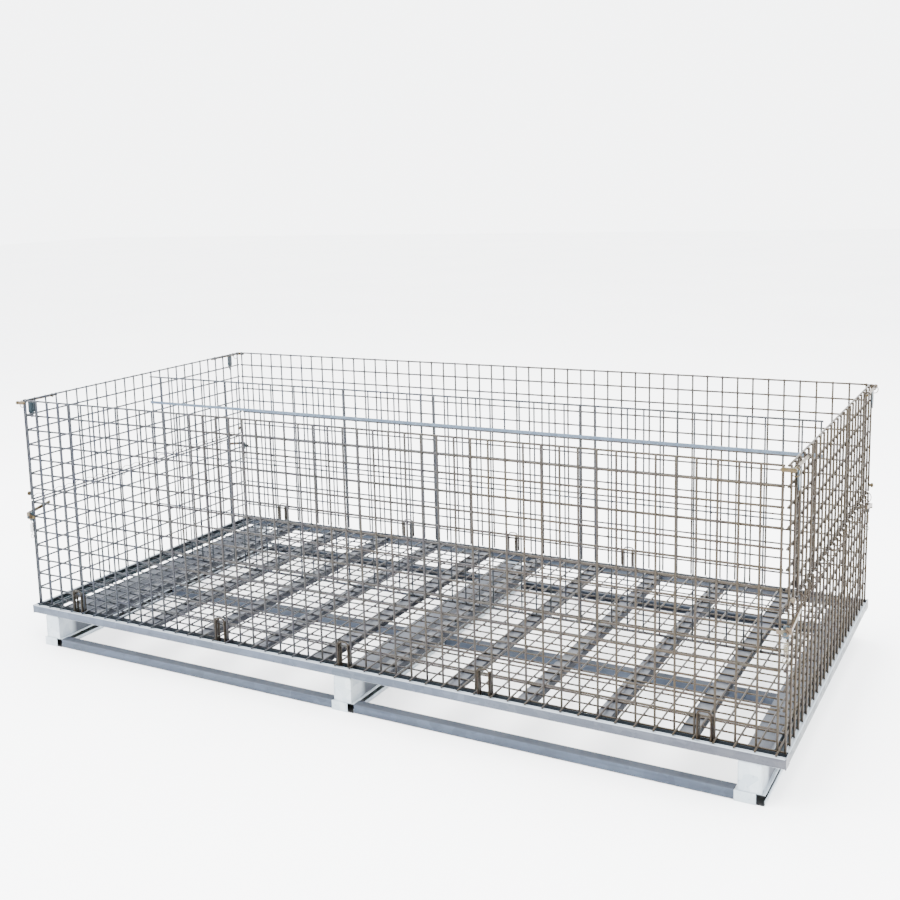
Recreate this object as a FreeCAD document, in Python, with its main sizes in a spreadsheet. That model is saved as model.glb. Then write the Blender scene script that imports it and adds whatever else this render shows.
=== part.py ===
"""Long collapsible wire mesh container on a steel pallet base.

Frame: +X along the length, +Y towards the back, +Z up. The origin is on the
ground under the middle of the base. All sizes are in millimetres.
"""
import math
import os

import FreeCAD
import Part
import Sketcher

V = FreeCAD.Vector
doc = FreeCAD.newDocument("mesh_container")

# ---------------------------------------------------------------- driving sizes
SIZES = {
    # pallet base
    "base_length": 2500,
    "base_depth": 1230,
    "rail_height": 28,
    "rail_flange": 40,
    "rail_lip": 12,
    "rail_upstand": 23,
    "sheet_gauge": 2.5,
    "skid_height": 28,
    "skid_width": 74,
    "bearer_height": 77,
    "bearer_width": 58,
    "bearer_inset": 85,
    "bearer_setback": 3,
    "plate_setback": 0.25,
    "skid_lip": 12,
    "skid_opening": 21,
    "runner_width": 30,
    "runner_setback": 3,
    "middle_runner_offset": 39,
    # floor
    "channel_width": 45,
    "channel_height": 20.5,
    "channel_gauge": 2,
    "channel_pitch": 222,
    "channel_count": 10,
    "floor_wire": 5,
    "floor_long_count": 24,
    "floor_end_gap": 1.5,
    "wire_end_gap": 1,
    # mesh
    "mesh_pitch": 50,
    "end_pitch": 49,
    "mesh_wire": 6,
    "weld_gap": 0.05,
    "long_wire_count": 50,
    "row_count": 14,
    "gate_row_count": 7,
    "end_wire_count": 25,
    "cage_setback": 15,
    "pivot_rise": 59,
    "panel_end_gap": 5,
    "stub_clearance": 10,
    # hinges
    "loop_clearance": 0.4,
    "loop_gauge": 5,
    "loop_offset": 17,
    "gate_wire_spacing": 10,
    "gate_axis_gap": 1,
    "ring_wire": 2.5,
    "ring_radius": 15.8,
    # divider
    "divider_wire": 5,
    "divider_count": 49,
    "divider_row_pitch": 200,
    "divider_row_count": 3,
    "divider_low_row": 700,
    "divider_drop": 9,
    "strap_height": 10,
    "strap_gauge": 3,
    "strap_drop": 105,
    "floor_gap": 0.9,
    # latches
    "rod_radius": 4,
    "rod_length": 181,
    "rod_offset": 9.5,
    "rod_drop": 6,
    "ring_play": 0.4,
    "holder_wire": 3,
    "hook_reach": 26,
    "hook_height": 10,
    "hook_gauge": 6,
    "hook_clearance": 3,
    "hook_root": 6,
    "rod_overrun": 11,
    "holder_outer": 28,
    "holder_inner": 150,
    "tab_inset": 52,
    "tab_width": 26,
    "tab_length": 56,
    "tab_gauge": 3,
    "lever_gauge": 4,
    "lever_arm": 10,
    "lever_eye": 8.5,
    "lever_gap": 0.5,
    "knob_gap": 0.1,
    "lever_reach": 22,
    "bridge_height": 16,
    "handle_width": 10,
    "handle_length": 106,
    "handle_rise": 9.5,
    "handle_lift": 4,
    "handle_gap": 5,
    "pin_radius": 4,
    "pin_play": 0.3,
    "pin_drop": 49,
    "knob_radius": 7,
    "knob_length": 5,
    "boss_height": 30,
    "boss_depth": 9,
    "boss_length": 13.4,
    "boss_overhang": 2.7,
    "pin_recess": 0.5,
    "bore_overrun": 5,
}
# Sizes that follow from the ones above.
DERIVED = {
    "rail_base": "skid_height + bearer_height",
    "rail_top": "rail_base + rail_height",
    "cage_half_depth": "base_depth / 2 - cage_setback",
    "pivot_y": "cage_half_depth - 1.5 * mesh_wire - weld_gap",
    "pivot_z": "rail_top + pivot_rise",
    "top_row_z": "pivot_z + (row_count - 1) * mesh_pitch",
    "cage_top": "top_row_z + mesh_wire / 2",
    "panel_half_length": "(long_wire_count - 1) * mesh_pitch / 2 + mesh_wire / 2",
    "gate_bar_x": "panel_half_length + panel_end_gap + mesh_wire / 2",
    "gate_wire_x": "gate_bar_x + mesh_wire + weld_gap",
    "gate_axis_x": "gate_wire_x + mesh_wire / 2 + gate_axis_gap",
    "gate_half_depth": "(end_wire_count - 1) * end_pitch / 2 + mesh_wire / 2",
    "gate_pivot_z": "top_row_z - gate_row_count * mesh_pitch",
    "channel_base": "rail_base + sheet_gauge",
    "long_wire_z": "channel_base + channel_height + weld_gap + floor_wire / 2",
    "cross_wire_z": "long_wire_z + floor_wire + weld_gap",
    "floor_top": "cross_wire_z + floor_wire / 2",
    "bearer_x": "base_length / 2 - bearer_inset",
    "rod_x": "gate_wire_x + rod_offset",
    "rod_z": "top_row_z - rod_drop",
    "pin_x": "gate_bar_x + pin_radius",
    "pin_z": "gate_pivot_z - pin_drop",
    "boss_face": "gate_half_depth + lever_gap",
    "lever_face": "boss_face + boss_depth + lever_gap",
    "knob_face": "lever_face + lever_gauge + knob_gap",
    "handle_x": "gate_wire_x + mesh_wire / 2 + handle_gap",
    "divider_top_z": "top_row_z - divider_drop",
}

sheet = doc.addObject("Spreadsheet::Sheet", "Sizes")
for row, (alias, value) in enumerate(SIZES.items(), start=1):
    sheet.set(f"A{row}", alias)
    sheet.set(f"B{row}", str(value))
    sheet.setAlias(f"B{row}", alias)
for row, (alias, formula) in enumerate(DERIVED.items(), start=len(SIZES) + 1):
    sheet.set(f"A{row}", alias)
    sheet.set(f"B{row}", "=" + formula)
    sheet.setAlias(f"B{row}", alias)
doc.recompute()


def size(alias):
    """The value of one cell, for code that places copies."""
    return float(sheet.get(alias))


def cell(text):
    """Write each alias in an expression as a reference to the sheet."""
    words = sorted([*SIZES, *DERIVED], key=len, reverse=True)
    out = text
    for number, word in enumerate(words):
        out = out.replace(word, f"<{number}>")
    for number, word in enumerate(words):
        out = out.replace(f"<{number}>", f"Sizes.{word}")
    return out


def bind(item, **formulas):
    """Bind properties to the sheet; a double underscore stands for a dot."""
    for name, text in formulas.items():
        item.setExpression(name.replace("__", "."), cell(text))


def place(item, x="0", y="0", z="0", turn=None):
    """Give an object its place from the sheet, and its turn."""
    if turn is not None:
        item.Placement = FreeCAD.Placement(V(), turn)
    bind(item, Placement__Base__x=x, Placement__Base__y=y, Placement__Base__z=z)


# ---------------------------------------------------------------- building blocks
ALONG_Z_STEP_X = FreeCAD.Rotation()
ALONG_Z_STEP_Y = FreeCAD.Rotation(V(0, 0, 1), 90)
ALONG_X_STEP_Z = FreeCAD.Rotation(V(1, 0, 1), 180)
ALONG_Y_STEP_Z = FreeCAD.Rotation(V(1, 1, 1), -120)
ALONG_X_STEP_Y = FreeCAD.Rotation(V(1, 1, 1), 120)
ALONG_Y_STEP_X = FreeCAD.Rotation(V(1, 0, 0), -90)

kept = []


def new_body(label):
    body = doc.addObject("PartDesign::Body", label)
    body.Label = label
    body.AllowCompound = True
    return body


def sketch_on(body, role, name):
    """An empty sketch on one of the body's own origin planes."""
    plane = next(item for item in body.Origin.OriginFeatures if item.Role == role)
    sketch = body.newObject("Sketcher::SketchObject", name)
    sketch.AttachmentSupport = [(plane, "")]
    sketch.MapMode = "FlatFace"
    return sketch


def add_outline(sketch, points):
    """A closed outline of straight edges through the points."""
    for start, end in zip(points, points[1:] + points[:1]):
        sketch.addGeometry(Part.LineSegment(V(*start, 0), V(*end, 0)), False)


def pad(body, sketch, name, length, midplane=False, backwards=False):
    feature = body.newObject("PartDesign::Pad", name)
    feature.Profile = sketch
    feature.Midplane = midplane
    feature.Reversed = backwards
    bind(feature, Length=length)
    return feature


def repeat(body, sketch, feature, name, span, count):
    """Copies of a feature along the sketch's first axis."""
    pattern = body.newObject("PartDesign::LinearPattern", name)
    pattern.Originals = [feature]
    pattern.Direction = (sketch, ["H_Axis"])
    bind(pattern, Length=span, Occurrences=count)
    body.Tip = pattern
    return pattern


def wires(label, turn, start, length, diameter, pitch, count):
    """A row of equal parallel wires in one body, drawn from its first wire."""
    body = new_body(label)
    sketch = sketch_on(body, "XY_Plane", label + "_section")
    sketch.addGeometry(Part.Circle(V(), V(0, 0, 1), 1), False)
    from_diameter = sketch.addConstraint(Sketcher.Constraint("Radius", 0, size(diameter) / 2))
    bind(sketch, **{f"Constraints[{from_diameter}]": f"{diameter} / 2"})
    wire = pad(body, sketch, label + "_wire", length)
    repeat(body, sketch, wire, label + "_row", f"({count} - 1) * {pitch}", count)
    place(body, *start, turn=turn)
    kept.append(body)
    return body


def pair_of(points):
    """Formulas in the sheet's aliases turned into sketch points."""
    return [(value(across), value(up)) for across, up in points]


def value(formula):
    """Work out a formula in the sheet's aliases through a cell of the sheet."""
    sheet.set("D1", "=" + formula)
    sheet.recompute()
    return float(sheet.get("D1"))


def profile(label, points, length, turn, start, centred=True):
    """A constant section along a line: a sketch of straight edges and one pad."""
    body = new_body(label)
    sketch = sketch_on(body, "XY_Plane", label + "_section")
    add_outline(sketch, pair_of(points))
    pad(body, sketch, label + "_length", length, midplane=centred)
    place(body, *start, turn=turn)
    return body


def keep(item):
    """Count an object as a sub-part that gets its own file."""
    item.Label = item.Name
    kept.append(item)
    return item


def block(name, corner, extents):
    """A box with its low corner and its three sizes from the sheet."""
    item = doc.addObject("Part::Box", name)
    bind(item, Length=extents[0], Width=extents[1], Height=extents[2])
    place(item, *corner)
    return item


def round_bar(name, start, radius, length, turn=None):
    """A round bar from its start, up the Z axis unless it is turned."""
    item = doc.addObject("Part::Cylinder", name)
    bind(item, Radius=radius, Height=length)
    place(item, *start, turn=turn)
    return item


def joined(name, items):
    item = doc.addObject("Part::MultiFuse", name)
    item.Shapes = items
    return item


def cut(name, base, tool):
    item = doc.addObject("Part::Cut", name)
    item.Base = base
    item.Tool = tool
    return item


def copies(label, shape, places):
    """Several copies of one shape as separate solids in one sub-part."""
    solids = []
    for turn, spot in places:
        solid = shape.copy()
        solid.Placement = FreeCAD.Placement(V(*spot), turn).multiply(solid.Placement)
        solids.append(solid)
    item = doc.addObject("Part::Feature", label)
    item.Shape = Part.makeCompound(solids)
    item.Placement = FreeCAD.Placement()
    return keep(item)


NO_TURN = ALONG_Z_STEP_X
HALF_TURN = FreeCAD.Rotation(V(0, 0, 1), 180)
ALONG_X = ALONG_X_STEP_Y
ALONG_Y = FreeCAD.Rotation(V(1, 0, 0), 90)
Z_TO_Y = ALONG_Y_STEP_X


# ---------------------------------------------------------------- pallet base
def rail(label, length, side, along_x):
    """A channel rail: outer web, narrow lip on top, wide flange below with its inner edge turned up."""
    web = "base_depth / 2" if along_x else "base_length / 2"
    section = [
        (web, "0"), (web, "rail_height"), (f"{web} - rail_lip", "rail_height"),
        (f"{web} - rail_lip", "rail_height - sheet_gauge"),
        (f"{web} - sheet_gauge", "rail_height - sheet_gauge"),
        (f"{web} - sheet_gauge", "sheet_gauge"), (f"{web} - rail_flange + sheet_gauge", "sheet_gauge"),
        (f"{web} - rail_flange + sheet_gauge", "rail_upstand"), (f"{web} - rail_flange", "rail_upstand"),
        (f"{web} - rail_flange", "0"),
    ]
    # The section's first axis is depth for the long rails and length for the short ones.
    turn = ALONG_X if along_x else ALONG_Y
    if side < 0:
        turn = HALF_TURN.multiply(turn)
    return keep(profile(label, section, length, turn, ("0", "0", "rail_base")))


def make_base():
    for label, side in (("rear_rail", 1), ("front_rail", -1)):
        rail(label, "base_length - 2 * sheet_gauge - 4 * weld_gap", side, True)
    for label, side in (("right_rail", 1), ("left_rail", -1)):
        rail(label, "base_depth - 2 * rail_flange - 4 * weld_gap", side, False)

    cap = block("rail_cap", ("0", "0", "0"), ("sheet_gauge", "rail_flange", "rail_height"))
    doc.recompute()
    reach = size("base_length") / 2 - size("sheet_gauge")
    depth = size("base_depth") / 2
    base = size("rail_base")
    flange = size("rail_flange")
    gauge = size("sheet_gauge")
    ends = []
    for x in (reach, -reach - gauge):
        for y in (-depth, depth - flange):
            ends.append((NO_TURN, (x, y, base)))
    copies("rail_end_caps", cap.Shape, ends)

    skid = [
        ("-skid_width / 2", "0"), ("skid_width / 2", "0"), ("skid_width / 2", "skid_lip"),
        ("skid_width / 2 - sheet_gauge", "skid_lip"), ("skid_width / 2 - sheet_gauge", "sheet_gauge"),
        ("sheet_gauge - skid_width / 2", "sheet_gauge"),
        ("sheet_gauge - skid_width / 2", "skid_height - sheet_gauge"),
        ("skid_width / 2", "skid_height - sheet_gauge"), ("skid_width / 2", "skid_height"),
        ("-skid_width / 2", "skid_height"),
    ]
    bearer = [
        ("-bearer_width / 2", "0"), ("sheet_gauge - bearer_width / 2", "0"),
        ("sheet_gauge - bearer_width / 2", "bearer_height - sheet_gauge"),
        ("bearer_width / 2 - sheet_gauge", "bearer_height - sheet_gauge"),
        ("bearer_width / 2 - sheet_gauge", "0"), ("bearer_width / 2", "0"),
        ("bearer_width / 2", "bearer_height"), ("-bearer_width / 2", "bearer_height"),
    ]
    inside = "bearer_width - 2 * sheet_gauge - 4 * weld_gap"
    plate = block("bearer_plate", ("-(" + inside + ") / 2", "0", "0"),
                  (inside, "sheet_gauge", "bearer_height - sheet_gauge - 2 * weld_gap"))
    one_skid = profile("skid_channel", skid, "base_depth - 2 * sheet_gauge - 2 * weld_gap", ALONG_Y, ("0", "0", "0"))
    toe = block("skid_plate", ("-skid_width / 2", "0", "0"),
                ("skid_width - skid_opening", "sheet_gauge", "skid_height"))
    for label, side in (("left", "-1"), ("centre", "0"), ("right", "1")):
        keep(profile(label + "_bearer", bearer, "base_depth - 2 * bearer_setback", ALONG_Y,
                     (f"{side} * bearer_x", "0", "skid_height")))
    doc.recompute()
    plates = []
    skids = []
    toes = []
    plate_y = depth - size("bearer_setback") - 2 * size("plate_setback")
    for across in (-size("bearer_x"), 0, size("bearer_x")):
        skids.append((NO_TURN, (across, 0, 0)))
        for y in (-plate_y, plate_y - gauge):
            plates.append((NO_TURN, (across, y, size("skid_height") + size("weld_gap"))))
        for y in (-depth, depth - gauge):
            toes.append((NO_TURN, (across, y, 0)))
    copies("skids", one_skid.Shape, skids)
    copies("bearer_end_plates", plate.Shape, plates)
    copies("skid_end_plates", toe.Shape, toes)

    runner = [
        ("0", "0"), ("runner_width", "0"), ("runner_width", "sheet_gauge"),
        ("sheet_gauge", "sheet_gauge"), ("sheet_gauge", "skid_height - sheet_gauge"),
        ("runner_width", "skid_height - sheet_gauge"), ("runner_width", "skid_height"),
        ("0", "skid_height"),
    ]
    # Each of the three runners is two lengths, from the middle skid to an outer one.
    length = "bearer_x - skid_width - 4 * weld_gap"
    half = profile("runner_half", runner, length, ALONG_X, ("0", "0", "0"))
    doc.recompute()
    middle = size("bearer_x") / 2
    setback = depth - size("runner_setback")
    halves = []
    for turn, y in ((NO_TURN, -setback), (NO_TURN, -size("middle_runner_offset")), (HALF_TURN, setback)):
        halves += [(turn, (-middle, y, 0)), (turn, (middle, y, 0))]
    copies("ground_runners", half.Shape, halves)


def make_floor():
    channel = [
        ("-channel_width / 2", "0"), ("channel_gauge - channel_width / 2", "0"),
        ("channel_gauge - channel_width / 2", "channel_height - channel_gauge"),
        ("channel_width / 2 - channel_gauge", "channel_height - channel_gauge"),
        ("channel_width / 2 - channel_gauge", "0"), ("channel_width / 2", "0"),
        ("channel_width / 2", "channel_height"), ("-channel_width / 2", "channel_height"),
    ]
    body = new_body("floor_channels")
    sketch = sketch_on(body, "XY_Plane", "channel_section")
    add_outline(sketch, pair_of(channel))
    strip = pad(body, sketch, "channel_strip", "base_depth - 2 * rail_flange - 4 * weld_gap", midplane=True)
    repeat(body, sketch, strip, "channel_row", "(channel_count - 1) * channel_pitch", "channel_count")
    place(body, "-(channel_count - 1) * channel_pitch / 2", "0", "channel_base + weld_gap", turn=ALONG_Y)
    keep(body)
    # The long wires stop short of the end rails' lips; the cross wires lie on the side rails' lips.
    between_lips = "(base_length - 2 * rail_lip - 2 * floor_end_gap)"
    wires("floor_long_wires", ALONG_X_STEP_Y,
          (f"-{between_lips} / 2", "-(floor_long_count - 1) * mesh_pitch / 2", "long_wire_z + weld_gap"),
          between_lips, "floor_wire", "mesh_pitch", "floor_long_count")
    inside = "(2 * sheet_gauge + 2 * wire_end_gap)"
    wires("floor_cross_wires", ALONG_Y_STEP_X,
          ("-(long_wire_count - 1) * mesh_pitch / 2", f"-(base_depth - {inside}) / 2",
           "cross_wire_z + weld_gap"),
          f"base_depth - {inside}", "floor_wire", "mesh_pitch", "long_wire_count")


# ---------------------------------------------------------------- long panels
LOOP_PLACES = (-1050, -450, 0, 450, 1050)


def make_long_panels():
    for label, side in (("front_panel", "-1"), ("rear_panel", "1")):
        wires(label + "_uprights", ALONG_Z_STEP_X,
              ("-(long_wire_count - 1) * mesh_pitch / 2",
               f"{side} * (cage_half_depth - mesh_wire / 2)", "rail_top + stub_clearance"),
              "cage_top - rail_top - stub_clearance", "mesh_wire", "mesh_pitch", "long_wire_count")
        wires(label + "_rows", ALONG_X_STEP_Z, ("-panel_half_length", f"{side} * pivot_y", "pivot_z"),
              "2 * panel_half_length", "mesh_wire", "mesh_pitch", "row_count")


def make_hinge_loops():
    """Upside-down U straps that hold each long panel's lowest row to its rail."""
    inner = "(mesh_wire / 2 + loop_clearance)"
    outer = "(mesh_wire / 2 + loop_clearance + loop_gauge)"
    leg = "(pivot_z - channel_base - 2 * weld_gap)"
    body = new_body("loop_strap")
    sketch = sketch_on(body, "XY_Plane", "loop_outline")
    near, far, drop = value(inner), value(outer), -value(leg)
    sketch.addGeometry(Part.ArcOfCircle(Part.Circle(V(), V(0, 0, 1), far), 0, math.pi), False)
    sketch.addGeometry(Part.ArcOfCircle(Part.Circle(V(), V(0, 0, 1), near), 0, math.pi), False)
    for start, end in (((far, 0), (far, drop)), ((far, drop), (near, drop)), ((near, drop), (near, 0)),
                       ((-far, 0), (-far, drop)), ((-far, drop), (-near, drop)), ((-near, drop), (-near, 0))):
        sketch.addGeometry(Part.LineSegment(V(*start, 0), V(*end, 0)), False)
    pad(body, sketch, "loop_width", "loop_gauge", midplane=True)
    place(body, turn=ALONG_X)
    doc.recompute()
    offset = size("loop_offset")
    for label, y in (("front_hinge_loops", -size("pivot_y")), ("rear_hinge_loops", size("pivot_y"))):
        spots = []
        for middle in LOOP_PLACES:
            for x in (middle - offset, middle + offset):
                spots.append((NO_TURN, (x, y, size("pivot_z"))))
        copies(label, body.Shape, spots)


# ---------------------------------------------------------------- end gates
RING_CELLS = (-11.5, -9.5, -6.5, -3.5, -0.5, 2.5, 5.5, 9.5, 11.5)


def make_end_gates():
    """Each end wall: a fixed lower half, and an upper half that drops outwards on rings."""
    span = "(end_wire_count - 1) * end_pitch"
    for label, side in (("left", "-1"), ("right", "1")):
        wires(label + "_lower_uprights", ALONG_Z_STEP_Y,
              (f"{side} * gate_wire_x", f"-{span} / 2", "rail_top + weld_gap"),
              "gate_pivot_z + mesh_wire / 2 - rail_top - weld_gap", "mesh_wire", "end_pitch", "end_wire_count")
        wires(label + "_lower_rows", ALONG_Y_STEP_Z,
              (f"{side} * gate_bar_x", "-gate_half_depth", "gate_pivot_z - (gate_row_count - 1) * mesh_pitch"),
              "2 * gate_half_depth", "mesh_wire", "mesh_pitch", "gate_row_count")
        wires(label + "_gate_uprights", ALONG_Z_STEP_Y,
              (f"{side} * gate_wire_x", f"-{span} / 2", "gate_pivot_z + gate_wire_spacing - mesh_wire / 2"),
              "cage_top - gate_pivot_z - gate_wire_spacing + mesh_wire / 2",
              "mesh_wire", "end_pitch", "end_wire_count")
        wires(label + "_gate_rows", ALONG_Y_STEP_Z,
              (f"{side} * gate_bar_x", "-gate_half_depth", "top_row_z - (gate_row_count - 1) * mesh_pitch"),
              "2 * gate_half_depth", "mesh_wire", "mesh_pitch", "gate_row_count")
        keep(round_bar(label + "_gate_hinge_wire",
                       (f"{side} * gate_bar_x", "-gate_half_depth", "gate_pivot_z + gate_wire_spacing"),
                       "mesh_wire / 2", "2 * gate_half_depth", Z_TO_Y))
    ring = doc.addObject("Part::Torus", "hinge_ring")
    bind(ring, Radius1="ring_radius", Radius2="ring_wire / 2")
    ring.Placement = FreeCAD.Placement(V(), ALONG_Y)
    doc.recompute()
    pitch = size("end_pitch")
    height = size("gate_pivot_z") + size("gate_wire_spacing") / 2
    for label, side in (("left_hinge_rings", -1), ("right_hinge_rings", 1)):
        spots = []
        for cells in RING_CELLS:
            spots.append((NO_TURN, (side * size("gate_axis_x"), cells * pitch, height)))
        copies(label, ring.Shape, spots)


# ---------------------------------------------------------------- divider
def make_divider():
    """The lengthwise divider at mid-depth: mesh, a stout top wire and a flat strap."""
    length = "((divider_count - 1) * mesh_pitch + 2 * divider_wire)"
    wires("divider_uprights", ALONG_Z_STEP_X,
          ("-(divider_count - 1) * mesh_pitch / 2", "0", "floor_top + floor_gap"),
          "divider_top_z - mesh_wire / 2 - weld_gap - floor_top - floor_gap",
          "divider_wire", "mesh_pitch", "divider_count")
    wires("divider_rows", ALONG_X_STEP_Z,
          (f"-{length} / 2", "divider_wire + weld_gap", "top_row_z - divider_low_row"),
          length, "divider_wire", "divider_row_pitch", "divider_row_count")
    keep(round_bar("divider_top_wire", (f"-{length} / 2", "0", "divider_top_z"), "mesh_wire / 2", length, ALONG_X))
    keep(block("divider_strap",
               (f"-{length} / 2", "-(divider_wire / 2 + weld_gap + strap_gauge)",
                "top_row_z - strap_drop - strap_height / 2"),
               (length, "strap_gauge", "strap_height")))


# ---------------------------------------------------------------- latches
def corner_label(side_x, side_y):
    return ("front_" if side_y < 0 else "rear_") + ("right" if side_x > 0 else "left")


def low(side, near, far):
    """The lower of two signed coordinates, as a formula."""
    return near if side > 0 else f"-({far})"


def make_top_latch(side_x, side_y):
    """A rod along the gate's top row, with a hook at the corner and a finger tab."""
    label = corner_label(side_x, side_y)
    rod_start = low(side_y, "cage_half_depth + rod_overrun - rod_length", "cage_half_depth + rod_overrun")
    rod_x = f"{side_x} * rod_x"
    rod = round_bar(label + "_rod_bar", (rod_x, rod_start, "rod_z"), "rod_radius", "rod_length", Z_TO_Y)
    hook_y = low(side_y, "cage_half_depth + hook_clearance",
                 "cage_half_depth + hook_clearance + hook_gauge")
    arm = block(label + "_hook_arm",
                (low(side_x, "rod_x - hook_reach", "rod_x"), hook_y, "rod_z - hook_height / 2"),
                ("hook_reach", "hook_gauge", "hook_height"))
    tip = round_bar(label + "_hook_tip", (f"{side_x} * (rod_x - hook_reach)", hook_y, "rod_z"),
                    "hook_height / 2", "hook_gauge", Z_TO_Y)
    root = round_bar(label + "_hook_root", (rod_x, hook_y, "rod_z"), "hook_root", "hook_gauge",
                     Z_TO_Y)
    keep(joined(label + "_latch_hook", [rod, arm, tip, root]))

    half = "tab_width / 2"
    outline = [
        (f"-{half}", "0"), (f"-{half}", "-0.62 * tab_length"), ("-0.12 * tab_width", "-tab_length"),
        ("0.12 * tab_width", "-tab_length"), (half, "-0.62 * tab_length"), (half, "0"),
    ]
    keep(profile(label + "_latch_tab", outline, "tab_gauge", ALONG_X,
                 (rod_x, f"{side_y} * (cage_half_depth - tab_inset)", "rod_z - rod_radius - weld_gap")))


def make_rod_holders():
    """Two wire rings on each gate corner that carry the latch rod."""
    ring = doc.addObject("Part::Torus", "rod_ring")
    bind(ring, Radius1="rod_radius + ring_play + holder_wire / 2", Radius2="holder_wire / 2")
    ring.Placement = FreeCAD.Placement(V(), ALONG_Y)
    doc.recompute()
    for label, side_x in (("left_rod_holders", -1), ("right_rod_holders", 1)):
        spots = []
        for side_y in (-1, 1):
            for inwards in (size("holder_outer"), size("holder_inner")):
                y = side_y * (size("cage_half_depth") - inwards)
                spots.append((NO_TURN, (side_x * size("rod_x"), y, size("rod_z"))))
        copies(label, ring.Shape, spots)


def make_side_latch(side_x, side_y):
    """A cranked lever on a pin near the top of each lower end wall, with a round head."""
    label = corner_label(side_x, side_y)
    pin_x = f"{side_x} * pin_x"
    boss = block(label + "_boss_block",
                 (low(side_x, "gate_bar_x - boss_overhang", "gate_bar_x - boss_overhang + boss_length"),
                  low(side_y, "boss_face", "boss_face + boss_depth"), "pin_z - boss_height / 2"),
                 ("boss_length", "boss_depth", "boss_height"))
    pin = round_bar(label + "_boss_pin", (pin_x, low(side_y, "boss_face", "base_depth / 2 - pin_recess"), "pin_z"),
                    "pin_radius", "base_depth / 2 - pin_recess - boss_face", Z_TO_Y)
    keep(joined(label + "_latch_boss", [boss, pin]))

    lever_y = low(side_y, "lever_face", "lever_face + lever_gauge")
    eye = round_bar(label + "_lever_eye", (pin_x, lever_y, "pin_z"), "lever_eye", "lever_gauge",
                    Z_TO_Y)
    arm = block(label + "_lever_arm",
                (low(side_x, "pin_x - lever_reach", "pin_x"), lever_y, "pin_z - lever_arm / 2"),
                ("lever_reach", "lever_gauge", "lever_arm"))
    bridge = block(label + "_lever_bridge",
                   (low(side_x, "pin_x", "handle_x + lever_gauge"), lever_y,
                    "pin_z + handle_lift + handle_width - bridge_height"),
                   ("handle_x + lever_gauge - pin_x", "lever_gauge", "bridge_height"))
    # The handle runs back along the wall from the bridge and climbs a little.
    handle = doc.addObject("Part::Box", label + "_lever_handle")
    bind(handle, Length="lever_gauge", Width="handle_length", Height="handle_width")
    climb = FreeCAD.Rotation(V(1, 0, 0), -side_y * size("handle_rise"))
    back = climb.multVec(V(0, size("handle_length"), 0)) if side_y > 0 else V()
    handle.Placement = FreeCAD.Placement(V(), climb)
    handle.Placement.Base = V(value(low(side_x, "handle_x", "handle_x + lever_gauge")),
                              side_y * (size("lever_face") + size("lever_gauge") / 2) - back.y,
                              size("pin_z") + size("handle_lift") - back.z)
    solid = joined(label + "_lever_solid", [eye, arm, bridge, handle])
    hole = round_bar(label + "_lever_hole", (pin_x, f"({lever_y}) - bore_overrun", "pin_z"), "pin_radius + pin_play",
                     "lever_gauge + 2 * bore_overrun", Z_TO_Y)
    keep(cut(label + "_latch_lever", solid, hole))

    knob_y = low(side_y, "knob_face", "knob_face + knob_length")
    disc = round_bar(label + "_knob_disc", (pin_x, knob_y, "pin_z"), "knob_radius", "knob_length", Z_TO_Y)
    bore = round_bar(label + "_knob_bore", (pin_x, f"({knob_y}) - bore_overrun", "pin_z"), "pin_radius + pin_play",
                     "knob_length + 2 * bore_overrun", Z_TO_Y)
    keep(cut(label + "_latch_knob", disc, bore))


make_base()
make_floor()
make_long_panels()
make_hinge_loops()
make_end_gates()
make_divider()
make_rod_holders()
for side_x in (-1, 1):
    for side_y in (-1, 1):
        make_top_latch(side_x, side_y)
        make_side_latch(side_x, side_y)
doc.recompute()

# ---------------------------------------------------------------- checks and files
for item in doc.Objects:
    if "Invalid" in item.State or "Error" in item.State:
        raise RuntimeError(f"{item.Name} did not recompute: {item.State}")
for item in kept:
    if item.Shape.isNull() or not item.Shape.isValid() or not item.Shape.Solids:
        raise RuntimeError(f"{item.Label} has no valid solid")

os.makedirs("parts", exist_ok=True)
whole = FreeCAD.BoundBox()
for item in kept:
    item.Shape.exportStep(f"parts/{item.Label}.step")
    whole.add(item.Shape.BoundBox)
    box = item.Shape.BoundBox
    print(f"{item.Label:28s} {len(item.Shape.Solids):3d} solids "
          f"x {box.XMin:8.1f} {box.XMax:8.1f} y {box.YMin:7.1f} {box.YMax:7.1f} z {box.ZMin:6.1f} {box.ZMax:6.1f}")
print(f"{len(kept)} sub-parts, {whole.XLength:.1f} x {whole.YLength:.1f} x {whole.ZLength:.1f} mm")
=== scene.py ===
"""Looks of a long folding wire mesh container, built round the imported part."""
import math
import random

import bmesh
import bpy
from mathutils import Matrix, Vector


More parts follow.
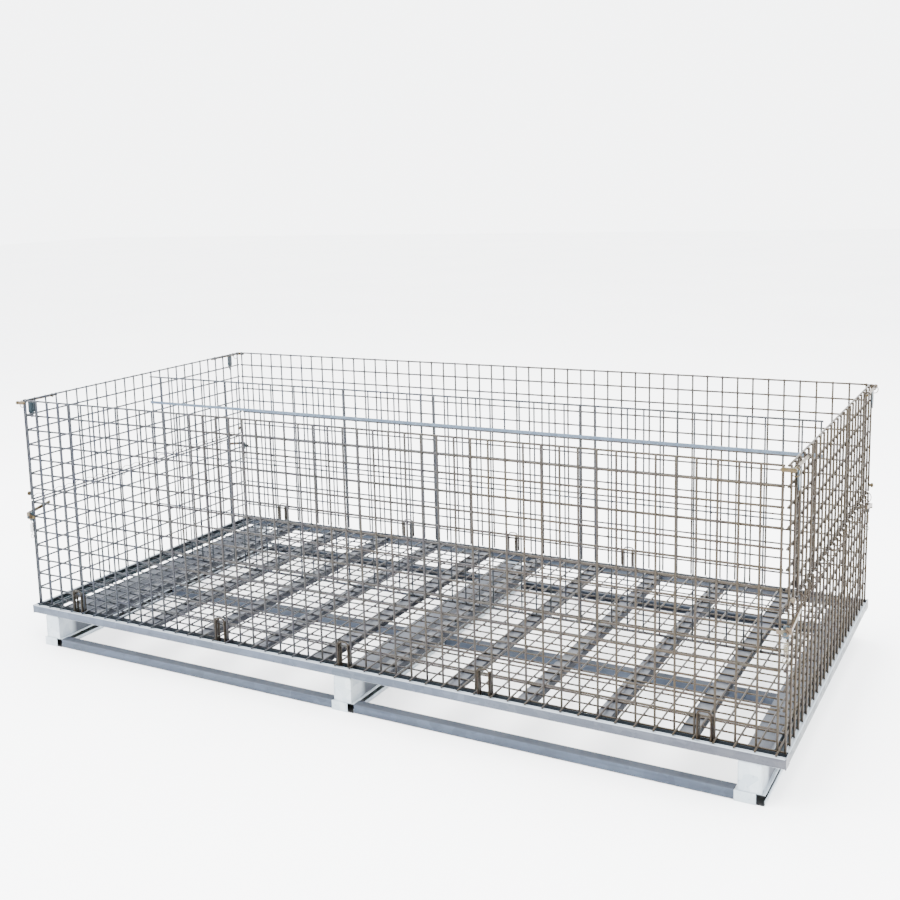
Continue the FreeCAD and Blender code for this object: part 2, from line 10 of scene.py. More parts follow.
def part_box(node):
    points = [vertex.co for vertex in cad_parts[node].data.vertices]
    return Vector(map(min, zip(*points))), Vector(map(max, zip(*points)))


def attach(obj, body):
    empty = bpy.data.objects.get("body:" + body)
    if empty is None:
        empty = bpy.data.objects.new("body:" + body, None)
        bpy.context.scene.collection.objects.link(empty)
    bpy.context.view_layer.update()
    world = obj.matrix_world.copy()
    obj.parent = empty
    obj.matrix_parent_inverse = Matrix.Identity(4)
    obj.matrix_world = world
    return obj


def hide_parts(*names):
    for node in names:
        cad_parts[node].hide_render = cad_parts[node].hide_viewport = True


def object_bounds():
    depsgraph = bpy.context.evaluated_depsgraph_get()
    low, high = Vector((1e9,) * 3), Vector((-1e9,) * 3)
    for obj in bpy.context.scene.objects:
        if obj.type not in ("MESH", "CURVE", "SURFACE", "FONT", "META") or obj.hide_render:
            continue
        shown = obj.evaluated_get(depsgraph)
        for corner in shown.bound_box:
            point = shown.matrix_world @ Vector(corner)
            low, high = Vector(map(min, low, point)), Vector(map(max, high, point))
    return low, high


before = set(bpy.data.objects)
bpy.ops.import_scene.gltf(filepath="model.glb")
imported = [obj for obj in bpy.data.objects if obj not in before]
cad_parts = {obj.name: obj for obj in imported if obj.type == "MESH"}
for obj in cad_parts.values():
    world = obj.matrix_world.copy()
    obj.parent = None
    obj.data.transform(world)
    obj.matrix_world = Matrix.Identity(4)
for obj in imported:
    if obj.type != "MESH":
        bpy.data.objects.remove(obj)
CAD_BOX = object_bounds()

# ------------------------------------------------------------------ sizes, in metres
PITCH = 0.050                   # mesh pitch of the long panels and the floor
END_PITCH = 0.049               # upright pitch of the end walls
DIVIDER_ROW_PITCH = 0.200
WIRE_RADIUS = 0.003             # mesh wire
WIRE_SIDES = 12
THIN_SIDES = 8                  # springs, rings and coils
SEGMENT = 0.1                   # length of the steps in which a wire strays
WOBBLE = 0.0004                 # how far a drawn wire strays from straight in one step
WELD_RADIUS = 0.0042
WELD_THICKNESS = 0.0016

SHEET = 0.0025                  # folded sheet of the base
STRIP_SHEET = 0.002             # folded sheet of the floor strips
BEND = 0.0045                   # outer radius of a fold
INNER_BEND = BEND - SHEET
STRIP_BEND = 0.003
STRIP_INNER_BEND = STRIP_BEND - STRIP_SHEET
EDGE = 0.0004                   # radius of a cut edge
STRAP_EDGE = 0.0008
RAIL_LIP = 0.012                # lip on top of the edge rails
RAIL_UPSTAND = 0.023            # inner edge of the edge rails, turned up
SKID_WIDTH = 0.074
SKID_LIP = 0.012
INSIDE_DEPTH = 0.0022           # how far below a skid's skin its inside starts
RUNNER_WIDTH = 0.030
RUNNER_GAP = SKID_WIDTH / 2 + 0.0001    # from the middle of the base to a runner's end
MIDDLE_RUNNER_OFFSET = 0.039    # from the middle of the base to the middle runners' face
STRIP_WIDTH = 0.045
STRIP_COUNT = 10

COIL_RADIUS = 0.0157            # the hinge coils, to the middle of their wire
COIL_WIRE = 0.00125
COIL_STEPS = 20                 # steps in one turn
ARCH_WIRE = 0.0022
ARCH_HALF_WIDTH = 0.017
ARCH_CORNER = 0.009
ARCH_RISE = 0.008               # above the straps
ARCH_STANDOFF = 0.0028          # outside the straps
LOOP_OVERHANG = 0.0195          # from the middle of the outermost loop to its end
LOOP_SHARES = (-1, -3 / 7, 0, 3 / 7, 1)     # loop places, as shares of the outermost
GAP = 0.0002                    # clearance where one piece stands on another

SPRING_PLACE = 0.6005           # distance of the pull springs from the middle, front to back
SPRING_TURNS = 7
SPRING_STEPS = 14               # steps in one turn
SPRING_COIL = 0.0046
SPRING_WIRE = 0.0011
SPRING_LENGTH = 0.030
SPRING_CLEARANCE = 0.0004       # under the boss
SPRING_STEM = 0.005             # straight wire above the coil
SPRING_SHOULDER = 0.003         # from the upper stem to the coil
SPRING_FOOT = 0.004             # from the coil to the lower stem
SPRING_RING = 0.0065
SPRING_RING_STEPS = 20
# The gate stud's profile: how far out along its axis, and its radius there.
STUD = ((0.0, 0.0045), (0.004, 0.0045), (0.0045, 0.0072), (0.0085, 0.0074), (0.0105, 0.0058),
        (0.0116, 0.003))
STUD_HEIGHT = 0.021             # above the lower end of the gate's uprights
PULL_RING = 0.0115
PULL_RING_NARROWING = 0.85
PULL_RING_PLACE = 0.588         # distance from the middle, front to back
PULL_RING_WIRE = 0.0013
PULL_RING_STEPS = 24
ROD_RADIUS = 0.006              # from the hook's outer side to the middle of the rod
RING_DROP = 0.0075              # from the rod to the middle of the ring

WORLD_LIGHT = 6.0
KEY_POWER = 1300

CORNERS = [(end, side) for end in ("left", "right") for side in ("front", "rear")]


# ------------------------------------------------------------------ mesh helpers
class Shape:
    """Points and faces that several makers add to, then one mesh object."""

    def __init__(self):
        self.points = []
        self.faces = []

    def add(self, points, faces):
        base = len(self.points)
        self.points.extend(tuple(point) for point in points)
        self.faces.extend(tuple(base + corner for corner in face) for face in faces)

    def make(self, name, body, material, replaces=(), sharp=40, inside=None):
        mesh = bpy.data.meshes.new(name)
        mesh.from_pydata(self.points, [], self.faces)
        mesh.validate()
        piece = bpy.data.objects.new(name, mesh)
        bpy.context.collection.objects.link(piece)
        tidy = bmesh.new()
        tidy.from_mesh(mesh)
        bmesh.ops.recalc_face_normals(tidy, faces=tidy.faces)
        tidy.to_mesh(mesh)
        tidy.free()
        for face in piece.data.polygons:
            face.use_smooth = True
        piece.data.set_sharp_from_angle(angle=math.radians(sharp))
        piece.data.materials.append(material)
        # Faces that the inside test picks take the darker copy of the sheet: painted shade.
        if inside is not None:
            piece.data.materials.append(SHADED_INSIDE_METAL)
            for face in piece.data.polygons:
                face.material_index = int(inside(face.center))
        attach(piece, body)
        if replaces:
            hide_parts(*replaces)


def square_to(direction):
    """A direction square to the given one."""
    helper = Vector((0, 0, 1)) if abs(direction.z) < 0.9 else Vector((1, 0, 0))
    return direction.cross(helper).normalized()


def add_tube(shape, path, radius, sides=WIRE_SIDES, closed=False):
    """A round wire along a path of points, with softly cut ends."""
    path = [Vector(point) for point in path]
    rings = []
    count = len(path)
    side = None
    for index, point in enumerate(path):
        before = path[index - 1] if index or closed else point
        after = path[(index + 1) % count] if index < count - 1 or closed else point
        along = (after - before).normalized()
        if side is None:
            side = square_to(along)
        side = (side - along * side.dot(along)).normalized()
        rings.append((point, along, side, radius))
    if not closed:
        cut = min(radius * 0.35, (path[1] - path[0]).length * 0.3)
        point, along, side, _ = rings[0]
        rings[0] = (point + along * cut, along, side, radius)
        rings.insert(0, (point, along, side, radius * 0.65))
        point, along, side, _ = rings[-1]
        rings[-1] = (point - along * cut, along, side, radius)
        rings.append((point, along, side, radius * 0.65))
    points = []
    for point, along, side, size in rings:
        other = along.cross(side)
        for corner in range(sides):
            turn = 2 * math.pi * corner / sides
            points.append(point + size * (math.cos(turn) * side + math.sin(turn) * other))
    faces = []
    total = len(rings)
    for ring in range(total if closed else total - 1):
        here, there = ring * sides, (ring + 1) % total * sides
        for corner in range(sides):
            beside = (corner + 1) % sides
            faces.append((here + corner, here + beside, there + beside, there + corner))
    if not closed:
        faces.append(tuple(range(sides - 1, -1, -1)))
        faces.append(tuple(range((total - 1) * sides, total * sides)))
    shape.add(points, faces)


def add_bead(shape, centre, radii, rings=4, sides=8):
    """A small closed blob, for weld metal and rounded heads."""
    points = [(centre[0], centre[1], centre[2] - radii[2])]
    for ring in range(1, rings):
        tilt = math.pi * ring / rings
        for corner in range(sides):
            turn = 2 * math.pi * corner / sides
            points.append((centre[0] + radii[0] * math.sin(tilt) * math.cos(turn),
                           centre[1] + radii[1] * math.sin(tilt) * math.sin(turn),
                           centre[2] - radii[2] * math.cos(tilt)))
    points.append((centre[0], centre[1], centre[2] + radii[2]))
    faces = []
    last = len(points) - 1
    for corner in range(sides):
        beside = (corner + 1) % sides
        faces.append((0, 1 + beside, 1 + corner))
        for ring in range(rings - 2):
            here, there = 1 + ring * sides, 1 + (ring + 1) * sides
            faces.append((here + corner, here + beside, there + beside, there + corner))
        top = 1 + (rings - 2) * sides
        faces.append((top + corner, top + beside, last))
    shape.add(points, faces)


def rounded(corners, steps=4):
    """A closed outline whose corners are arcs: each corner is (across, up, radius)."""
    outline = []
    count = len(corners)
    for index, (across, up, radius) in enumerate(corners):
        here = Vector((across, up))
        back = Vector(corners[index - 1][:2]) - here
        ahead = Vector(corners[(index + 1) % count][:2]) - here
        radius = min(radius, 0.49 * back.length, 0.49 * ahead.length)
        back.normalize()
        ahead.normalize()
        opening = back.angle(ahead)
        if radius <= 0 or opening > math.pi - 0.01:
            outline.append(here)
            continue
        centre = here + (back + ahead).normalized() * radius / math.sin(opening / 2)
        start = here + back * radius / math.tan(opening / 2) - centre
        end = here + ahead * radius / math.tan(opening / 2) - centre
        for step in range(steps + 1):
            blend = step / steps
            spoke = start.lerp(end, blend).normalized() * radius
            outline.append(centre + spoke)
    return outline


def add_extrusion(shape, outline, axis, low, high):
    """A closed outline carried along an axis; the outline's axes are the other two in order."""
    others = [index for index in range(3) if index != axis]
    count = len(outline)
    points = []
    for reach in (low, high):
        for across, up in outline:
            point = [0.0, 0.0, 0.0]
            point[axis] = reach
            point[others[0]] = across
            point[others[1]] = up
            points.append(point)
    faces = [tuple(range(count)), tuple(range(2 * count - 1, count - 1, -1))]
    for corner in range(count):
        beside = (corner + 1) % count
        faces.append((corner, beside, count + beside, count + corner))
    shape.add(points, faces)


# ------------------------------------------------------------------ materials
WHITE = (1.0, 1.0, 1.0)
WIRE_WARMING = (-1.2, 1.25)     # along X, from where to where the wires turn from cool to warm
RAIL_WARMING = (0.2, 1.25)      # along X, from where to where the rails' tint changes
BEARER_PAINTED_SHADE = (0.556, 0.530)   # from the middle, where the painted shade on a bearer starts and where it is full
STREAK_SCALE = 60.0
STREAK_STRETCH = (0.06, 1.0, 1.0)


def new_material(name):
    material = bpy.data.materials.new(name)
    material.use_nodes = True
    nodes = material.node_tree.nodes
    return material, nodes, material.node_tree.links, nodes["Principled BSDF"]


def noise(nodes, links, scale, detail, where):
    node = nodes.new("ShaderNodeTexNoise")
    node.inputs["Scale"].default_value = scale
    node.inputs["Detail"].default_value = detail
    links.new(where, node.inputs["Vector"])
    return node.outputs["Fac"]


def ramp(nodes, links, source, stops):
    """A colour that follows a number: each stop is a value and its colour."""
    node = nodes.new("ShaderNodeValToRGB")
    elements = node.color_ramp.elements
    while len(elements) < len(stops):
        elements.new(0.5)
    for element, (place, colour) in zip(elements, stops):
        element.position = place
        element.color = (*colour, 1)
    links.new(source, node.inputs["Fac"])
    return node.outputs["Color"]


def mix(nodes, links, factor, first, second, mode="MIX"):
    """A colour mix; each input is a socket, a number or a colour."""
    node = nodes.new("ShaderNodeMix")
    node.data_type = "RGBA"
    node.blend_type = mode
    inputs = (node.inputs[0], node.inputs[6], node.inputs[7])
    for socket, value in zip(inputs, (factor, first, second)):
        if isinstance(value, bpy.types.NodeSocket):
            links.new(value, socket)
        elif isinstance(value, tuple):
            socket.default_value = (*value, 1)
        else:
            socket.default_value = value
    return node.outputs[2]


def calculate(nodes, links, operation, *values, clamp=False):
    """A maths node; each value is a socket or a number."""
    node = nodes.new("ShaderNodeMath")
    node.operation = operation
    node.use_clamp = clamp
    for socket, value in zip(node.inputs, values):
        if isinstance(value, bpy.types.NodeSocket):
            links.new(value, socket)
        else:
            socket.default_value = value
    return node.outputs[0]


def object_space(nodes):
    return nodes.new("ShaderNodeTexCoord").outputs["Object"]


def coordinate(nodes, links, where, axis):
    split = nodes.new("ShaderNodeSeparateXYZ")
    links.new(where, split.inputs[0])
    return split.outputs[axis]


def progress(nodes, links, value, start, end):
    """0 up to the start, 1 from the end on, and even growth between them."""
    node = nodes.new("ShaderNodeMapRange")
    node.inputs["From Min"].default_value = start
    node.inputs["From Max"].default_value = end
    links.new(value, node.inputs["Value"])
    return node.outputs["Result"]


def bump(nodes, links, shader, height, strength, distance):
    node = nodes.new("ShaderNodeBump")
    node.inputs["Strength"].default_value = strength
    node.inputs["Distance"].default_value = distance
    links.new(height, node.inputs["Height"])
    links.new(node.outputs["Normal"], shader.inputs["Normal"])


def wire_material(name, cool, warm, metallic):
    """Zinc plated drawn wire: cool at the left end, warmer at the right, with passivation tints."""
    material, nodes, links, shader = new_material(name)
    where = object_space(nodes)
    reach = progress(nodes, links, coordinate(nodes, links, where, "X"), *WIRE_WARMING)
    drift = noise(nodes, links, 3.0, 3.0, where)
    shift = calculate(nodes, links, "MULTIPLY_ADD", drift, 0.9, -0.45)
    total = calculate(nodes, links, "ADD", reach, shift, clamp=True)
    base = mix(nodes, links, total, cool, warm)
    patches = noise(nodes, links, 28.0, 5.0, where)
    tint = ramp(nodes, links, patches,
                [(0.30, (0.80, 0.78, 0.92)), (0.45, WHITE), (0.58, (1.0, 0.96, 0.80)),
                 (0.72, (0.86, 0.98, 0.93))])
    colour = mix(nodes, links, 0.8, base, tint, "MULTIPLY")
    grime = noise(nodes, links, 160.0, 6.0, where)
    dark = ramp(nodes, links, grime,
                [(0.32, (0.55, 0.53, 0.5)), (0.52, WHITE)])
    colour = mix(nodes, links, 0.55, colour, dark, "MULTIPLY")
    links.new(colour, shader.inputs["Base Color"])
    rough = ramp(nodes, links, grime, [(0.3, (0.55,) * 3), (0.7, (0.32,) * 3)])
    links.new(rough, shader.inputs["Roughness"])
    shader.inputs["Metallic"].default_value = metallic
    bump(nodes, links, shader, grime, 0.25, 0.0004)
    return material


def sheet_material(name, light, dark, metallic, spangle=42.0):
    """Galvanised sheet: crystal spangle, a little white bloom and handling marks."""
    material, nodes, links, shader = new_material(name)
    where = object_space(nodes)
    crystals = nodes.new("ShaderNodeTexVoronoi")
    crystals.inputs["Scale"].default_value = spangle
    links.new(where, crystals.inputs["Vector"])
    facets = nodes.new("ShaderNodeSeparateColor")
    links.new(crystals.outputs["Color"], facets.inputs[0])
    base = mix(nodes, links, facets.outputs[0], light, dark)
    clouds = noise(nodes, links, 5.0, 5.0, where)
    bloom = ramp(nodes, links, clouds,
                 [(0.32, (0.86, 0.86, 0.93)), (0.5, WHITE), (0.70, (1.0, 0.97, 0.92))])
    colour = mix(nodes, links, 0.85, base, bloom, "MULTIPLY")
    scuffs = noise(nodes, links, 90.0, 8.0, where)
    marks = ramp(nodes, links, scuffs,
                 [(0.28, (0.60, 0.60, 0.62)), (0.40, WHITE)])
    colour = mix(nodes, links, 0.6, colour, marks, "MULTIPLY")
    links.new(colour, shader.inputs["Base Color"])
    gloss = ramp(nodes, links, facets.outputs[1], [(0.0, (0.5,) * 3), (1.0, (0.34,) * 3)])
    links.new(gloss, shader.inputs["Roughness"])
    shader.inputs["Metallic"].default_value = metallic
    bump(nodes, links, shader, scuffs, 0.18, 0.0005)
    return material


def within_limits(limits):
    """A mask of the points whose coordinates' sizes lie between their low and high limits."""
    def mask(nodes, links):
        where = object_space(nodes)
        inside = 1.0
        for axis, (low, high) in limits.items():
            size = calculate(nodes, links, "ABSOLUTE", coordinate(nodes, links, where, axis))
            for operation, bound in (("GREATER_THAN", low), ("LESS_THAN", high)):
                test = calculate(nodes, links, operation, size, bound)
                inside = calculate(nodes, links, "MULTIPLY", inside, test)
        return inside
    return mask


def lay_painted_light(material, mask_of, colour, amount=0.9, dullness=0.8):
    """Lay another colour and gloss over part of a material: here, painted shade and painted
    highlights.
    """
    nodes, links = material.node_tree.nodes, material.node_tree.links
    shader = nodes["Principled BSDF"]
    strength = calculate(nodes, links, "MULTIPLY", mask_of(nodes, links), amount)
    for socket, value in (("Base Color", colour), ("Roughness", (dullness,) * 3)):
        before = shader.inputs[socket].links[0].from_socket
        links.new(mix(nodes, links, strength, before, value), shader.inputs[socket])


def glaze(material, amount, tone):
    """Multiply a finished material's colour by a tone."""
    nodes, links = material.node_tree.nodes, material.node_tree.links
    socket = nodes["Principled BSDF"].inputs["Base Color"]
    before = socket.links[0].from_socket
    links.new(mix(nodes, links, amount, before, tone, "MULTIPLY"), socket)


def streak(material, low):
    """Lengthwise drawing marks along X over a finished material."""
    nodes, links = material.node_tree.nodes, material.node_tree.links
    mapping = nodes.new("ShaderNodeMapping")
    mapping.inputs["Scale"].default_value = STREAK_STRETCH
    links.new(object_space(nodes), mapping.inputs["Vector"])
    lines = noise(nodes, links, STREAK_SCALE, 5.0, mapping.outputs[0])
    glaze(material, 0.7, ramp(nodes, links, lines, [(0.35, low), (0.62, WHITE)]))


def along_tint(material, right):
    """A slow change of tint towards the right end."""
    nodes, links = material.node_tree.nodes, material.node_tree.links
    place = coordinate(nodes, links, object_space(nodes), "X")
    reach = progress(nodes, links, place, *RAIL_WARMING)
    glaze(material, 1.0, mix(nodes, links, reach, WHITE, right))


def facing(axis, least):
    """A mask of the faces turned towards either end of an axis."""
    def mask(nodes, links):
        normal = nodes.new("ShaderNodeTexCoord").outputs["Normal"]
        size = calculate(nodes, links, "ABSOLUTE", coordinate(nodes, links, normal, axis))
        return calculate(nodes, links, "GREATER_THAN", size, least)
    return mask


def deep_inside(nodes, links):
    """A mask for painted shade on the bearers, which grows from their end faces towards their
    middle.
    """
    place = coordinate(nodes, links, object_space(nodes), "Y")
    return progress(nodes, links, calculate(nodes, links, "ABSOLUTE", place), *BEARER_PAINTED_SHADE)


def yellow_zinc_material(name, pale, deep):
    """Yellow passivated zinc: straw colour drifting to pink and green."""
    material, nodes, links, shader = new_material(name)
    where = object_space(nodes)
    flow = noise(nodes, links, 22.0, 3.0, where)
    tint = ramp(nodes, links, flow,
                [(0.30, deep), (0.46, pale), (0.60, (0.088, 0.064, 0.046)),
                 (0.74, (0.062, 0.072, 0.048))])
    specks = noise(nodes, links, 240.0, 6.0, where)
    dirt = ramp(nodes, links, specks,
                [(0.30, (0.45, 0.40, 0.32)), (0.45, WHITE)])
    colour = mix(nodes, links, 0.6, tint, dirt, "MULTIPLY")
    links.new(colour, shader.inputs["Base Color"])
    rough = ramp(nodes, links, specks, [(0.3, (0.5,) * 3), (0.7, (0.28,) * 3)])
    links.new(rough, shader.inputs["Roughness"])
    shader.inputs["Metallic"].default_value = 0.8
    bump(nodes, links, shader, specks, 0.2, 0.0003)
    return material


def rail_material(name, limits, light, dark, right):
    """A rail's finish: streaked, tinted at the right end, with a painted highlight on its lip and
    other level faces, and painted shade on its inner faces.
    """
    material = sheet_material(name, light, dark, metallic=0.5)
    streak(material, (0.60, 0.60, 0.64))
    along_tint(material, right)
    # Painted highlight: faces turned up or down are lighter and glossier.
    lay_painted_light(material, facing("Z", 0.5), (0.24, 0.27, 0.30), amount=0.75, dullness=0.35)
    # Painted shade on the inner faces of the channel.
    lay_painted_light(material, within_limits(limits), (0.012, 0.018, 0.024))
    return material


MESH_WIRE = wire_material(
    "mesh_wire", (0.025, 0.029, 0.038), (0.035, 0.0275, 0.0200), metallic=0.75)
DIVIDER_WIRE = wire_material(
    "divider_wire", (0.027, 0.033, 0.045), (0.030, 0.032, 0.036), metallic=0.75)
HINGE_WIRE = wire_material(
    "hinge_wire", (0.021, 0.018, 0.014), (0.024, 0.017, 0.011), metallic=0.75)
WELD = wire_material("weld", (0.015, 0.016, 0.019), (0.018, 0.014, 0.011), metallic=0.6)
SPRING = wire_material("spring", (0.16, 0.16, 0.16), (0.19, 0.17, 0.13), metallic=0.85)
FOOT_METAL = sheet_material("foot_sheet", (0.40, 0.45, 0.48), (0.30, 0.35, 0.39), metallic=0.35)
# A darker copy of the foot sheet: painted shade, as the bearers lie under the floor.
SHADED_BEARER_METAL = sheet_material(
    "bearer_sheet_shaded", (0.34, 0.38, 0.41), (0.26, 0.30, 0.34), metallic=0.35)
# A darker copy of the skid sheet for the skids' inside faces: painted shade.
SHADED_INSIDE_METAL = sheet_material(
    "sheet_inside_shaded", (0.22, 0.23, 0.24), (0.17, 0.18, 0.19), metallic=0.2)
# Painted shade on the rails' inner faces: the limits take in these faces only, stopping just inside
# the outer ones.
LONG_RAIL_METAL = rail_material(
    "long_rail_sheet", {"X": (-1, 1.2472), "Y": (0.5756, 0.6122), "Z": (0.1055, 0.1326)},
    (0.060, 0.076, 0.102), (0.044, 0.057, 0.079), (1.0, 0.82, 0.72))
END_RAIL_METAL = rail_material(
    "end_rail_sheet", {"X": (1.2106, 1.2472), "Y": (-1, 0.5748), "Z": (0.1055, 0.1326)},
    (0.030, 0.046, 0.054), (0.022, 0.035, 0.042), WHITE)
RUNNER_METAL = sheet_material(
    "runner_steel", (0.040, 0.054, 0.080), (0.029, 0.040, 0.060), metallic=0.45)
STRIP_METAL = sheet_material(
    "floor_steel", (0.056, 0.061, 0.073), (0.038, 0.043, 0.052), metallic=0.55)
STRAP_METAL = sheet_material(
    "divider_strap", (0.080, 0.112, 0.155), (0.058, 0.082, 0.118), metallic=0.45)
TAB_METAL = sheet_material(
    "tab_steel", (0.016, 0.031, 0.040), (0.012, 0.023, 0.030), metallic=0.45, spangle=120.0)
YELLOW_ZINC = yellow_zinc_material("yellow_zinc", (0.062, 0.046, 0.020), (0.032, 0.021, 0.010))

# Painted shade: the skids are dark inside near their ends, and the bearers are dark away from
# theirs, where the floor shades them.
lay_painted_light(SHADED_INSIDE_METAL, within_limits({"Y": (0.540, 0.620)}), (0.006, 0.007, 0.008), amount=0.97)
lay_painted_light(SHADED_BEARER_METAL, deep_inside, (0.032, 0.034, 0.044))
streak(RUNNER_METAL, (0.55, 0.56, 0.60))
# Painted shade: the runners' faces turned up or down are darker.
lay_painted_light(RUNNER_METAL, facing("Z", 0.6), (0.03, 0.035, 0.045), amount=0.8)
# Painted shade on the side webs of the floor strips.
lay_painted_light(STRIP_METAL, facing("X", 0.6), (0.010, 0.012, 0.018))


# ------------------------------------------------------------------ wire mesh
def wire_places(node, step, pitch):
    """Where the wires of a row lie along the axis that they repeat on, and their radius."""
    low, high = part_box(node)
    thin = min(high[axis] - low[axis] for axis in range(3))
    count = round((high[step] - low[step] - thin) / pitch) + 1
    first = low[step] + thin / 2
    gap = (high[step] - low[step] - thin) / max(count - 1, 1)
    return [first + index * gap for index in range(count)], thin / 2


def make_wire_row(node, body, material, along, step, pitch, straight=False):
    """Rebuild a row of parallel wires with round sections, cut ends and a slight stray."""
    low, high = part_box(node)
    places, radius = wire_places(node, step, pitch)
    level = 3 - along - step
    shape = Shape()
    draw = random.Random(node)
    for place in places:
        length = high[along] - low[along]
        pieces = max(2, round(length / SEGMENT))
        stray = 0.0
        path = []
        for index in range(pieces + 1):
            point = [0.0, 0.0, 0.0]
            point[along] = low[along] + length * index / pieces
            point[level] = (low[level] + high[level]) / 2
            if not straight and 0 < index < pieces:
                stray = 0.5 * stray + draw.uniform(-WOBBLE, WOBBLE)
            point[step] = place + stray
            path.append(point)
        add_tube(shape, path, radius)
    shape.make(node + "_drawn", body, material, replaces=[node], sharp=50)


def make_welds(name, body, uprights, rows, along_step, row_step, pitch, row_pitch):
    """A small swelling of weld metal wherever two wires of a panel cross."""
    first, _ = wire_places(uprights, along_step, pitch)
    second, _ = wire_places(rows, row_step, row_pitch)
    level = 3 - along_step - row_step
    low_a, high_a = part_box(uprights)
    low_b, high_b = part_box(rows)
    contact = (min(high_a[level], high_b[level]) + max(low_a[level], low_b[level])) / 2
    shape = Shape()
    draw = random.Random(name)
    for one in first:
        for two in second:
            if not low_a[row_step] < two < high_a[row_step]:
                continue
            centre = [0.0, 0.0, 0.0]
            centre[along_step] = one
            centre[row_step] = two
            centre[level] = contact
            grow = draw.uniform(0.85, 1.15)
            radii = [WELD_RADIUS * grow] * 3
            radii[level] = WELD_THICKNESS
            radii[2] = min(radii[2], CAD_BOX[1][2] - centre[2])
            add_bead(shape, centre, radii)
    shape.make(name, body, WELD, sharp=70)


def make_panels():
    for side in ("front", "rear"):
        body = side + "_panel"
        make_wire_row(body + "_uprights", body, MESH_WIRE, 2, 0, PITCH)
        make_wire_row(body + "_rows", body, MESH_WIRE, 0, 2, PITCH, straight=True)
        make_welds(body + "_welds", body, body + "_uprights", body + "_rows", 0, 2, PITCH, PITCH)
    for end in ("left", "right"):
        for half, body in (("lower", "base"), ("gate", end + "_gate")):
            uprights = f"{end}_{half}_uprights"
            rows = f"{end}_{half}_rows"
            make_wire_row(uprights, body, MESH_WIRE, 2, 1, END_PITCH)
            make_wire_row(rows, body, MESH_WIRE, 1, 2, PITCH, straight=True)
            make_welds(f"{end}_{half}_welds", body, uprights, rows, 1, 2, END_PITCH, PITCH)
        make_wire_row(end + "_gate_hinge_wire", end + "_gate", MESH_WIRE, 1, 2, PITCH,
                      straight=True)
    make_wire_row("floor_long_wires", "base", MESH_WIRE, 0, 1, PITCH)
    make_wire_row("floor_cross_wires", "base", MESH_WIRE, 1, 0, PITCH)
    make_welds("floor_welds", "base", "floor_cross_wires", "floor_long_wires", 0, 1, PITCH, PITCH)


def make_divider():
    make_wire_row("divider_uprights", "divider", DIVIDER_WIRE, 2, 0, PITCH)
    make_wire_row("divider_rows", "divider", DIVIDER_WIRE, 0, 2, DIVIDER_ROW_PITCH)
    make_wire_row("divider_top_wire", "divider", DIVIDER_WIRE, 0, 2, PITCH,
                  straight=True)
    make_welds("divider_welds", "divider", "divider_uprights", "divider_rows", 0, 2, PITCH,
               DIVIDER_ROW_PITCH)
    low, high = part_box("divider_strap")
    shape = Shape()
    outline = rounded([
        (low[1], low[2], STRAP_EDGE), (high[1], low[2], STRAP_EDGE),
        (high[1], high[2], STRAP_EDGE), (low[1], high[2], STRAP_EDGE),
    ])
    add_extrusion(shape, outline, 0, low[0], high[0])
    shape.make("divider_strap_flat", "divider", STRAP_METAL,
               replaces=["divider_strap"])


# ------------------------------------------------------------------ folded sheet
def rail_outline(outer, inner, base, top):
    """A rail's section: outer web, narrow lip above, wide flange below with an upstand."""
    way = 1 if inner > outer else -1
    skin = way * SHEET
    return rounded([
        (outer, base, BEND), (outer, top, BEND), (outer + way * RAIL_LIP, top, EDGE),
        (outer + way * RAIL_LIP, top - SHEET, EDGE), (outer + skin, top - SHEET, INNER_BEND),
        (outer + skin, base + SHEET, INNER_BEND), (inner - skin, base + SHEET, INNER_BEND),
        (inner - skin, base + RAIL_UPSTAND, EDGE), (inner, base + RAIL_UPSTAND, EDGE),
        (inner, base, BEND),
    ])


def make_rails():
    for node, axis, outer_is_low in (("front_rail", 0, True), ("rear_rail", 0, False),
                                     ("left_rail", 1, True), ("right_rail", 1, False)):
        low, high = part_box(node)
        across = 1 - axis
        outer, inner = (low[across], high[across]) if outer_is_low else (high[across], low[across])
        outline = rail_outline(outer, inner, low[2], high[2])
        shape = Shape()
        add_extrusion(shape, outline, axis, low[axis], high[axis])
        shape.make(node + "_folded", "base",
                   LONG_RAIL_METAL if axis == 0 else END_RAIL_METAL, replaces=[node], sharp=30)


def make_bearers():
    for node in ("left_bearer", "centre_bearer", "right_bearer"):
        low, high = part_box(node)
        outline = rounded([
            (low[0], low[2], EDGE), (low[0] + SHEET, low[2], EDGE),
            (low[0] + SHEET, high[2] - SHEET, INNER_BEND),
            (high[0] - SHEET, high[2] - SHEET, INNER_BEND),
            (high[0] - SHEET, low[2], EDGE), (high[0], low[2], EDGE),
            (high[0], high[2], BEND), (low[0], high[2], BEND),
        ])
        shape = Shape()
        add_extrusion(shape, outline, 1, low[1], high[1])
        shape.make(node + "_folded", "base", SHADED_BEARER_METAL, replaces=[node],
                   sharp=30)


def make_skids():
    low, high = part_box("skids")
    half = SKID_WIDTH / 2
    centres = (low[0] + half, 0.0, high[0] - half)
    shape = Shape()
    for middle in centres:
        near, far = middle - half, middle + half
        outline = rounded([
            (near, low[2], BEND), (far, low[2], BEND), (far, low[2] + SKID_LIP, EDGE),
            (far - SHEET, low[2] + SKID_LIP, EDGE), (far - SHEET, low[2] + SHEET, INNER_BEND),
            (near + SHEET, low[2] + SHEET, INNER_BEND), (near + SHEET, high[2] - SHEET, INNER_BEND),
            (far, high[2] - SHEET, EDGE), (far, high[2], EDGE), (near, high[2], BEND),
        ])
        add_extrusion(shape, outline, 1, low[1], high[1])

    def within(spot):
        """Whether a face's middle lies inside the channel, not on its outer skin."""
        return (low[2] + INSIDE_DEPTH < spot.z < high[2] - INSIDE_DEPTH
                and any(abs(spot.x - centre) < half - 0.002 for centre in centres))

    shape.make("skids_folded", "base", FOOT_METAL, replaces=["skids"], sharp=30,
               inside=within)


